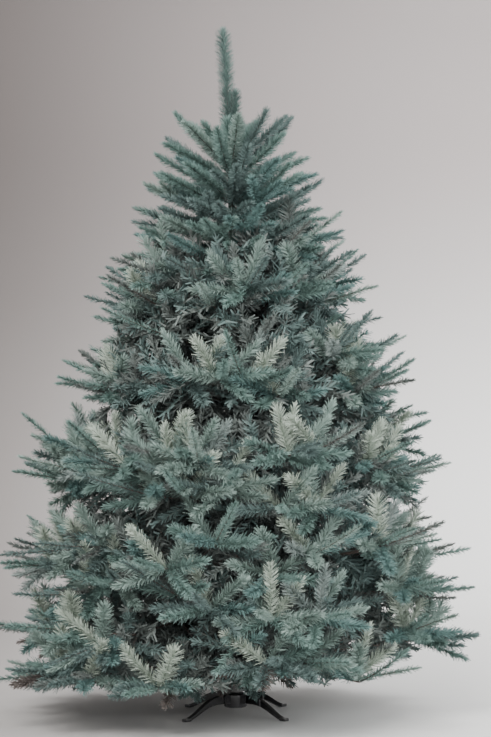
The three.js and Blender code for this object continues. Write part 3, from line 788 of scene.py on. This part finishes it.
# The leader: one long brush, wider at its base, and a short shoot beside it.
leader = {
    "count": 3200, "foot": 0.004, "halfWidth": (0.031, 0.0255), "wire": (0.0042, 0.003, 0.0018),
    "shootAt": 0.05, "shoot": (0.006, -0.012, 0.125), "shootOff": (0.012, 0, 0),
    "shootWidth": (0.026, 0.019), "shootWire": (0.0028, 0.0016),
}
leaderBase = poleTop + lean * leader["foot"]
leaderRun = leaderTip - leaderBase
random = np.random.default_rng(11)


def brushNeedles(base, run, count, halfBase, halfTip):
    t = np.sort(random.random(count))
    angle = random.uniform(0, 2 * pi, count)
    ends = np.clip((t - 0.95) / 0.05, 0, 1)
    theta = np.radians(mix(58, 54, t) * mix(1, 0.3, ends) + random.normal(0, 6, count))
    reach = mix(halfBase, halfTip, t) * random.uniform(0.8, 1.08, count) / sin(radians(52))
    reach *= mix(1, 0.75, ends)
    axis = np.array(run.normalized())
    side = np.cross(axis, [0.0, 1.0, 0.0])
    side /= np.linalg.norm(side)
    other = np.cross(axis, side)
    ring = np.cos(angle)[:, None] * side + np.sin(angle)[:, None] * other
    direction = np.cos(theta)[:, None] * axis + np.sin(theta)[:, None] * ring
    start = np.array(base) + t[:, None] * np.array(run)
    turn = np.cross(direction, axis + random.normal(0, 0.4, (count, 3)))
    turn /= np.linalg.norm(turn, axis=1, keepdims=True)
    turn *= needle["halfWidth"]
    tip, narrow = start + direction * reach[:, None], turn * needle["tip"]
    corners = np.stack([start - turn, start + turn, tip + narrow, tip - narrow], axis=1)
    return corners.reshape(-1, 3)


shootBase = poleTop + lean * leader["shootAt"]
shootTip = shootBase + Vector(leader["shoot"])
for tint in ("deep", "teal"):
    count = leader["count"] // 2
    shootFoot = shootBase + Vector(leader["shootOff"])
    corners = [brushNeedles(leaderBase, leaderRun, count, *leader["halfWidth"]),
               brushNeedles(shootFoot, shootTip - shootBase, count // 3, *leader["shootWidth"])]
    mesh = needleMesh("needles_leader_" + tint, np.concatenate(corners))
    placePiece("needles_leader_" + tint, mesh, needleMaterials[tint], "needles", "foliage_leader")
wires.append(([leaderBase, leaderBase.lerp(leaderTip, 0.5), leaderTip], leader["wire"]))
wires.append(([shootBase, shootTip], leader["shootWire"]))

stem = {
    "film": 0.0011, "wire": 0.0024, "tip": 0.0006,  # radii
    "marks": (0, 0.32, 0.64, 0.95), "shortMarks": (0, 0.93),
}
stems = {"film": [], "wire": []}
for root, direction, face, length, halfWidth, bend, tint, kind in sprigs:
    marks = stem["shortMarks"] if kind == "inner" else stem["marks"]
    points = [root + direction * (m * length) + face * (bend * (m * length) ** 2) for m in marks]
    clad = "wire" if kind in ("long", "top") else "film"
    stems[clad].append((points, np.linspace(stem[clad], stem["tip"], len(points))))
for name, runs, sides, material in (("sprigStems", stems["film"], 3, stemMaterial),
                                    ("tipStems", stems["wire"], 4, wireMaterial),
                                    ("branchWires", wires, 5, wireMaterial)):
    placePiece(name, tubeMesh(name, runs, sides), material, "wrapped_wire", *foliageNodes)
print("needles and stems made")


# Boughs of wound wire.

wound = {"core": 0.68, "band": (0.0046, 0.0011), "pitch": 0.0125, "stepsATurn": 10, "rows": 12}


move = Matrix.Translation
alongX, alongY = (Matrix.Rotation(pi / 2, 4, axis) for axis in "YX")  # turn +Z to these


def turnTo(azimuth, height=0.0):
    return move((0, 0, height)) @ Matrix.Rotation(radians(azimuth), 4, "Z")


def addRod(bm, radius, length, segments, place, farRadius=None):
    bmesh.ops.create_cone(bm, cap_ends=True, segments=segments, radius1=radius,
                          radius2=radius if farRadius is None else farRadius, depth=length, matrix=place)


def addBlock(bm, size, place):
    return bmesh.ops.create_cube(bm, size=1, matrix=place @ Matrix.Diagonal((*size, 1)))["verts"]


def spinScrew(bm, geom, pitch, turns, stepsATurn):  # one thread round the X axis, closed at its ends
    bmesh.ops.spin(bm, geom=geom, cent=(0, 0, 0), axis=(1, 0, 0), dvec=(pitch / stepsATurn, 0, 0),
                   angle=2 * pi * turns, steps=turns * stepsATurn, use_merge=False,
                   use_duplicate=False)
    bmesh.ops.holes_fill(bm, edges=[e for e in bm.edges if e.is_boundary], sides=0)
    bmesh.ops.recalc_face_normals(bm, faces=bm.faces)


def bevelEdges(bm, edges, offset, segments, clamped=False):
    bmesh.ops.bevel(bm, geom=edges, offset=offset, segments=segments, affect="EDGES", profile=0.5,
                    material=-1, clamp_overlap=clamped)


def bevelSharp(bm, offset, segments=2, limit=35):
    sharp = radians(limit)
    edges = [e for e in bm.edges if len(e.link_faces) == 2 and e.calc_face_angle(0) > sharp]
    bevelEdges(bm, edges, offset, segments, True)


def woundBough(k, azimuth):  # a core with a flat band wound round it, made along +X and then placed
    rim = poleRadius(whorlHeight(k))
    start, end = rim + pole["collarLip"] + 0.0006, crown["boughShare"] * whorlReach(k)
    foot, tip = (heading(azimuth, 0) * radius for radius in (start, end))
    foot.z, tip.z = boughHeight(k, azimuth, start), boughHeight(k, azimuth, end)
    run, thick, thin = (tip - foot).length, *crown["boughRadii"]
    bm = bmesh.new()
    core = thick * wound["core"]
    addRod(bm, core, run, 10, move((run / 2, 0, 0)) @ alongX)
    lengthwise = [e for e in bm.edges if abs(e.verts[0].co.x - e.verts[1].co.x) > run / 2]
    bmesh.ops.subdivide_edges(bm, edges=lengthwise, cuts=wound["rows"], use_grid_fill=True)
    # One section of the band, then a screw round the core.
    wide, high = wound["band"]
    place = move((wide, 0, core)) @ Matrix.Diagonal((wide, 1, high, 1)) @ alongY
    section = bmesh.ops.create_circle(bm, segments=6, radius=1, matrix=place)
    ring = section["verts"] + list({e for v in section["verts"] for e in v.link_edges})
    turns = int((run - 2 * wide) / wound["pitch"])
    spinScrew(bm, ring, wound["pitch"], turns, wound["stepsATurn"])
    for vertex in bm.verts:  # taper and sag
        share = vertex.co.x / run
        vertex.co.y *= mix(1, thin / thick, share)
        vertex.co.z *= mix(1, thin / thick, share)
        vertex.co.z -= sin(pi * share) * run * crown["sag"]
    along = (tip - foot).normalized()
    across = skyward.cross(along).normalized()
    bm.transform(move(foot) @ Matrix((along, across, along.cross(across))).transposed().to_4x4())
    return bm


for k in range(crown["boughWhorls"]):
    for j in range(crown["counts"][k]):
        name = f"{k + 1}{'abcde'[j]}"
        bm = woundBough(k, azimuthOf(k, j, crown["counts"][k]))
        addPiece("woundBough_" + name, bm, wireMaterial, "wrapped_wire", "bough_" + name, smooth=True)
print("boughs made")

# Pole, collars and brackets.


def spunProfile(profile, steps=48):  # a full spin of [radius, height] pairs about the pole
    bm = bmesh.new()
    corners = [bm.verts.new((max(r, 0.0), 0, z)) for r, z in profile]
    edges = [bm.edges.new(pair) for pair in zip(corners, corners[1:])]
    bmesh.ops.spin(bm, geom=corners + edges, cent=(0, 0, 0), axis=(0, 0, 1), angle=2 * pi,
                   steps=steps, use_merge=True, use_duplicate=False)
    bmesh.ops.remove_doubles(bm, verts=bm.verts, dist=1e-6)
    bmesh.ops.recalc_face_normals(bm, faces=bm.faces)
    return bm


def polePiece():
    low = pole["foot"]
    profile = [(0, low)]
    for n, (top, radius) in enumerate(pole["sections"]):
        profile += [(radius, low)]
        if n < 2:
            start = top - pole["ferruleHeight"]
            lip = radius + pole["ferruleLip"]
            profile += [(radius, start), (radius + 0.0012, start + 0.001), (lip, start + 0.004),
                        (lip, top - 0.002), (lip - 0.001, top)]
        else:
            profile += [(radius, top - 0.003), (radius * 0.8, top), (0, top)]
        low = top
    return spunProfile(profile)


addPiece("poleTubes", polePiece(), polePaint, "pole_paint", "trunk", smooth=True)


def collarPiece(k):  # a pressed ring with a hinge bracket for each bough
    radius = poleRadius(whorlHeight(k))
    z, half, rim = whorlHeight(k), pole["collarHeight"] / 2, radius + pole["collarLip"]
    inner, edge, groove = radius + 0.0002, rim - 0.004, rim - 0.0035
    lower = [(inner, 0), (edge, 0), (rim, 0.002), (rim, 0.005), (groove, 0.0065)]
    lower = [(r, h - half) for r, h in lower]
    upper = [(r, -h) for r, h in reversed(lower)]
    bm = spunProfile([(r, z + h) for r, h in lower + upper + lower[:1]])
    count = dict(growth["tiers"])[k]
    for j in range(count):
        turn = turnTo(azimuthOf(k, 0, crown["counts"][k]) + 360 / count * j)
        for side in (-1, 1):
            place = turn @ move((rim + 0.001, side * pole["bracketOff"], z))
            corners = addBlock(bm, pole["bracket"], place)
            edges = [e for e in {e for v in corners for e in v.link_edges}
                     if abs((turn.inverted() @ (e.verts[0].co - e.verts[1].co).to_4d()).y) > 0.001]
            bevelEdges(bm, edges, pole["bracketRound"], 3)
        pin = turn @ move((rim + pole["pinOut"], 0, z)) @ alongY
        addRod(bm, pole["pinRadius"], pole["pinLength"], 12, pin)
    return bm


for k in range(crown["boughWhorls"]):
    addPiece(f"hingeCollar_{k + 1}", collarPiece(k), polePaint, "pole_paint", "trunk")
print("pole made")

# Stand.

stand = {
    "floorHeight": 0.022, "drumRadius": 0.034, "drumTop": 0.062,
    "socketRadius": 0.024, "socketBore": 0.0187, "socketTop": 0.130, "socketFloor": 0.030,
    "reach": 0.211, "width": 0.016, "rootDepth": 0.026, "tipDepth": 0.007,
    "crest": 0.049, "arch": 1.25, "archStart": 0.060, "padStart": 0.186,
    "earThickness": 0.0035, "earRoot": 0.030, "earReach": 0.054, "pinAt": (0.045, 0.048),
    "shoe": (0.0235, 0.0188, 0.0092), "shoeAt": 0.2008,
    "rivet": (0.0048, 0.0036, 0.0018),  # its two radii and its height
    "screwHeight": 0.104, "screwRadius": 0.003, "knobRadius": 0.010, "knobAt": 0.036,
}
legAzimuths = {"front_left": -135, "front_right": -45, "back_right": 45, "back_left": 135}


def legRows():
    s = stand
    root, rows, steps = s["drumRadius"] + 0.0013, [], 26
    for n in range(steps + 1):
        radius = mix(root, s["reach"], n / steps)
        share = min(max((radius - s["archStart"]) / (s["reach"] - s["archStart"]), 0), 1)
        fall = (1 + cos(pi * share ** s["arch"])) / 2
        centre = mix(s["tipDepth"] / 2, s["crest"], fall)
        depth = mix(s["rootDepth"], s["tipDepth"], share)
        low = 0.0 if radius > s["padStart"] else max(centre - depth / 2, 0.0)
        rows.append((radius, low, centre + depth / 2, s["width"] / 2))
    return rows


def legPiece(azimuth):  # one flat bar, extruded along its bend, with rolled edges
    bm = bmesh.new()
    bmesh.ops.create_grid(bm, x_segments=1, y_segments=1, size=0.5, matrix=alongX)
    bm.faces.ensure_lookup_table()
    end = bm.faces[0]
    for n, (radius, low, high, half) in enumerate(legRows()):
        if n:
            made = bmesh.ops.extrude_face_region(bm, geom=[end])
            end = next(g for g in made["geom"] if isinstance(g, bmesh.types.BMFace))
        middle = end.calc_center_median()
        for vertex in end.verts:
            across = half if vertex.co.y > middle.y else -half
            vertex.co = (radius, across, high if vertex.co.z > middle.z else low)
    bmesh.ops.recalc_face_normals(bm, faces=bm.faces)
    bevelSharp(bm, 0.0022, 3, 60)
    bm.transform(turnTo(azimuth))
    return bm


for name, azimuth in legAzimuths.items():
    node = "stand_leg_" + name
    addPiece("standLeg_" + name, legPiece(azimuth), standPaint, "stand_paint", node, smooth=True)
    shoe = bmesh.new()  # a rubber one over the end
    addBlock(shoe, stand["shoe"], move((stand["shoeAt"], 0, stand["shoe"][2] / 2)))
    bevelSharp(shoe, 0.0026, 3)
    shoe.transform(turnTo(azimuth))
    addPiece("rubberShoe_" + name, shoe, footRubber, "stand_paint", node, smooth=True)


def hubPiece():
    low, drum, drumTop = stand["floorHeight"], stand["drumRadius"], stand["drumTop"]
    socket, socketTop, bore = stand["socketRadius"], stand["socketTop"], stand["socketBore"]
    bead, floor = socket + 0.0015, stand["socketFloor"]
    profile = [(0, low), (drum - 0.003, low), (drum, low + 0.003), (drum, drumTop - 0.004),
               (drum - 0.001, drumTop - 0.0015), (drum - 0.004, drumTop),
               (socket + 0.002, drumTop + 0.003), (socket, drumTop + 0.006),
               (socket, socketTop - 0.006), (bead, socketTop - 0.004), (bead, socketTop - 0.001),
               (socket, socketTop), (bore, socketTop), (bore, floor), (0, floor)]
    return spunProfile(profile, 64)


def earsPiece(azimuth):  # the forked bracket that holds a leg, with its rivet
    s = stand
    bm = bmesh.new()
    thick, off = s["earThickness"], s["width"] / 2 + 0.0003 + s["earThickness"] / 2
    wide, narrow, height = s["rivet"]
    middle = (s["earReach"] + s["earRoot"]) / 2
    for side in (-1, 1):
        plate = bmesh.new()
        size = (s["earReach"] - s["earRoot"], thick, s["rootDepth"])
        addBlock(plate, size, move((middle, side * off, s["crest"] - 0.001)))
        outer = [e for e in plate.edges if all(v.co.x > middle for v in e.verts)
                 and abs(e.verts[0].co.y - e.verts[1].co.y) > 0.001]
        bevelEdges(plate, outer, 0.008, 5)
        bevelSharp(plate, 0.0006, 2, 60)
        mesh = meshOf("earPlate", plate)
        bm.from_mesh(mesh)
        bpy.data.meshes.remove(mesh)
    for side in (-1, 1):
        head = move((s["pinAt"][0], side * (off + thick / 2 + 0.0008), s["pinAt"][1])) @ alongY
        foot, rim = (wide, narrow) if side > 0 else (narrow, wide)
        addRod(bm, foot, height, 20, head, rim)
    bm.transform(turnTo(azimuth))
    return bm


addPiece("standHub", hubPiece(), standPaint, "stand_paint", "stand_hub", smooth=True)
for name, azimuth in legAzimuths.items():
    addPiece("hubEars_" + name, earsPiece(azimuth), standPaint, "stand_paint", "stand_hub", smooth=True)


screw = {
    "azimuths": (-90, 30, 150), "pitch": 0.0015, "threadDepth": 0.0005, "stepsATurn": 14,
    "flutes": 8, "fluteDepth": 0.08,
}


def screwPiece(azimuth):  # a plain shank with one thread run round it
    tip, end = poleRadius(stand["screwHeight"]) + 0.0003, stand["knobAt"] + 0.001
    core, pitch = stand["screwRadius"] - screw["threadDepth"], screw["pitch"]
    bm = bmesh.new()
    addRod(bm, core, end - tip, 16, move(((tip + end) / 2, 0, 0)) @ alongX)
    inside = core - 0.0001
    corners = ((0.0001, inside), (pitch * 0.45, stand["screwRadius"]), (pitch * 0.9, inside))
    ridge = [bm.verts.new((tip + x, 0, z)) for x, z in corners]
    edges = [bm.edges.new((ridge[n], ridge[(n + 1) % 3])) for n in range(3)]
    turns = int((end - tip - pitch) / pitch)
    spinScrew(bm, ridge + edges, pitch, turns, screw["stepsATurn"])
    bm.transform(turnTo(azimuth, stand["screwHeight"]))
    return bm


def gripPiece(azimuth):  # a turned knob with flutes pressed in
    radius = stand["knobRadius"]
    shares = [(0, 0), (0.62, 0), (0.9, 0.0012), (1, 0.003), (1, 0.0055), (1, 0.008),
              (0.9, 0.0098), (0.62, 0.011), (0.5, 0.0104), (0, 0.0104)]
    profile = [(radius * share, height) for share, height in shares]
    bm = spunProfile(profile, 64)
    for vertex in bm.verts:
        if radiusOf(vertex.co) > radius * 0.8:
            ripple = max(0, cos(screw["flutes"] * atan2(vertex.co.y, vertex.co.x))) ** 2
            vertex.co.xy *= 1 - screw["fluteDepth"] * ripple
    bm.transform(turnTo(azimuth, stand["screwHeight"]) @ move((stand["knobAt"], 0, 0)) @ alongX)
    return bm


for n, azimuth in enumerate(screw["azimuths"]):
    node = f"stand_screw_{n + 1}"
    addPiece(f"screwShank_{n + 1}", screwPiece(azimuth), zincSteel, "screw_grip", node)
    addPiece(f"screwGrip_{n + 1}", gripPiece(azimuth), gripPlastic, "screw_grip", node, smooth=True)
print("stand made")

# Floor, lights and camera.

studio = {
    "wallShadeToLight": ((0.086, 0.073, 0.068), (0.408, 0.372, 0.366)),  # painted shade at the left and painted light at the right; the floor's are lighter still, as painted light
    "floorShadeToLight": ((0.176, 0.152, 0.143), (0.870, 0.880, 0.862)),
    "farColour": (0.88, 0.87, 0.87), "airColour": (0.80, 0.79, 0.80), "airStrength": 1.5,
    "roughness": 0.75, "left": -1.9, "right": 1.6, "blendHeight": 2.2, "farFrom": 4.5, "farTo": 8.5,
    "wallAt": 2.6, "bend": 1.4, "wallHalf": 9.0, "wallHeight": 8.4, "floorHalf": 60.0,
}


def sweepMaterial():  # painted light and shade: darker at its left, lighter towards its right and on the floor, and clear from behind
    material, shader = newMaterial("paleSweep", studio["farColour"], studio["roughness"])
    tree = material.node_tree
    place = addNode(tree, "ShaderNodeTexCoord").outputs["Object"]
    split = addNode(tree, "ShaderNodeSeparateXYZ", {0: place}).outputs
    far = addNode(tree, "ShaderNodeVectorMath", {0: place}, operation="LENGTH").outputs["Value"]

    def share(source, low, high):
        inputs = {"Value": source, "From Min": low, "From Max": high}
        node = addNode(tree, "ShaderNodeMapRange", inputs, interpolation_type="SMOOTHSTEP")
        return node.outputs["Result"]

    def blend(factor, *pair):
        first, second = ((*colour, 1) if isinstance(colour, tuple) else colour for colour in pair)
        inputs = {"Factor": factor, "A": first, "B": second}
        return addNode(tree, "ShaderNodeMix", inputs, data_type="RGBA").outputs["Result"]

    across = share(split["X"], studio["left"], studio["right"])
    floor = blend(share(far, studio["farFrom"], studio["farTo"]),
                  blend(across, *studio["floorShadeToLight"]), studio["farColour"])
    upward = share(split["Z"], 0.0, studio["blendHeight"])
    whole = blend(upward, floor, blend(across, *studio["wallShadeToLight"]))
    feed(tree, shader, {"Base Color": whole})
    behind = addNode(tree, "ShaderNodeNewGeometry").outputs["Backfacing"]
    clear = addNode(tree, "ShaderNodeBsdfTransparent").outputs[0]
    either = addNode(tree, "ShaderNodeMixShader", {0: behind, 1: shader.outputs[0], 2: clear})
    feed(tree, tree.nodes["Material Output"], {"Surface": either.outputs[0]})
    return material


def stageSheet(name, bm, material):
    mesh = meshOf(name, bm)
    mesh.shade_smooth()
    mesh.materials.append(material)
    linked(name, mesh)


def wallSheet():  # a bend up from the floor, and the wall over it
    half, at, bend = studio["wallHalf"], studio["wallAt"], studio["bend"]
    bm = bmesh.new()
    foot = [bm.verts.new((x, at, 0)) for x in (-half, half)]
    curve = bmesh.ops.spin(bm, geom=foot + [bm.edges.new(foot)], cent=(0, at, bend), axis=(1, 0, 0),
                           angle=pi / 2, steps=12, use_merge=False, use_duplicate=False)
    edges = [g for g in curve["geom_last"] if isinstance(g, bmesh.types.BMEdge)]
    made = bmesh.ops.extrude_edge_only(bm, edges=edges)["geom"]
    upper = [g for g in made if isinstance(g, bmesh.types.BMVert)]
    bmesh.ops.translate(bm, verts=upper, vec=(0, 0, studio["wallHeight"] - bend))
    bmesh.ops.recalc_face_normals(bm, faces=bm.faces)
    bm.normal_update()
    if sum(face.normal.y for face in bm.faces) > 0:
        bmesh.ops.reverse_faces(bm, faces=bm.faces)
    return bm


floorSheet = bmesh.new()
bmesh.ops.create_grid(floorSheet, x_segments=1, y_segments=1, size=studio["floorHalf"])
paleSweep = sweepMaterial()
stageSheet("studioWall", wallSheet(), paleSweep)
stageSheet("studioFloor", floorSheet, paleSweep)


def addArea(name, place, aim, size, power, colour):
    light = bpy.data.lights.new(name, "AREA")
    light.shape, light.size, light.size_y = "RECTANGLE", size[0], size[1]
    light.energy, light.color = power, colour
    lamp = linked(name, light)
    lamp.location = place
    lamp.rotation_euler = (Vector(aim) - Vector(place)).to_track_quat("-Z", "Y").to_euler()


lights = {  # place, aim, size, watts and colour
    "keyLight": ((-1.6, -4.2, 4.2), (0, 0, 1.0), (2.8, 2.2), 430, (1.0, 0.985, 0.96)),
    "fillLight": ((3.4, -3.4, 2.2), (0, 0, 0.9), (2.4, 2.4), 180, (0.95, 0.98, 1.0)),
    "wallLight": ((2.9, 2.0, 1.7), (1.4, 4.0, 1.0), (1.2, 1.6), 40, (1.0, 0.985, 0.98)),
    "backLight": ((0.6, 2.3, 3.9), (0, 0.3, 0.9), (2.6, 1.2), 90, (1.0, 0.99, 0.98)),
}
for name, values in lights.items():
    addArea(name, *values)
backdrop = bpy.data.worlds.new("studioAir")
backdrop.use_nodes = True
air = backdrop.node_tree.nodes["Background"]
feed(backdrop.node_tree, air, {"Color": (*studio["airColour"], 1), "Strength": studio["airStrength"]})
bpy.context.scene.world = backdrop

view = {
    "distance": 6.5, "height": 1.0, "side": 0.0374, "pitch": 0.277, "roll": 0.45,
    "lens": 106.2, "sensor": 36, "sightEnd": 60,
}
lens = bpy.data.cameras.new("viewCamera")
lens.sensor_fit = "VERTICAL"
lens.sensor_height = lens.sensor_width = view["sensor"]
lens.lens = view["lens"]
lens.clip_end = view["sightEnd"]
camera = linked("viewCamera", lens)
camera.location = (view["side"], -view["distance"], view["height"])
camera.rotation_euler = (radians(90 + view["pitch"]), radians(view["roll"]), 0)
bpy.context.scene.camera = camera
